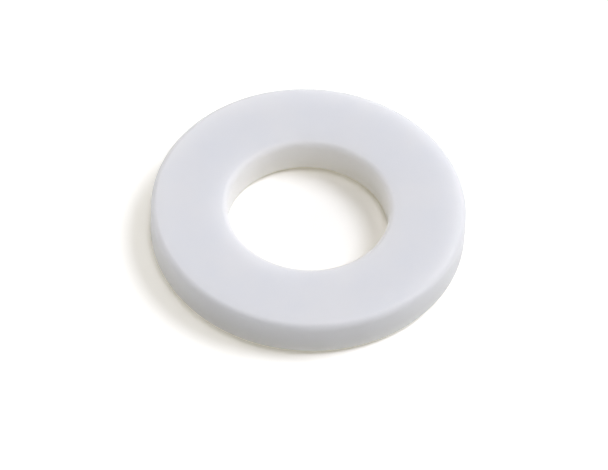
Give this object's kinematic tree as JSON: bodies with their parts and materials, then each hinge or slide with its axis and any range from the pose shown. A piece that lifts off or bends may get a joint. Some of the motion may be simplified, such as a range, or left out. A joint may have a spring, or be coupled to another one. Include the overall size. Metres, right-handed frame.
{
  "type": "flat washer",
  "caption": "Plain flat plastic washer: a thin milky-white ring with flat faces, straight walls, softly rounded edges and a round hole for a bolt.",
  "frame": {"origin": "centre of the bore in the plane of the lower face, which rests on Z = 0", "axes": "+Z along the bore's axis, from the lower face to the upper one; the ring is round, so X and Y are free"},
  "size_m": [0.0126, 0.0126, 0.0016],
  "materials": {
    "nylon": "satin"
  },
  "bodies": {
    "root": {"washer": "nylon"}
  },
  "joints": []
}
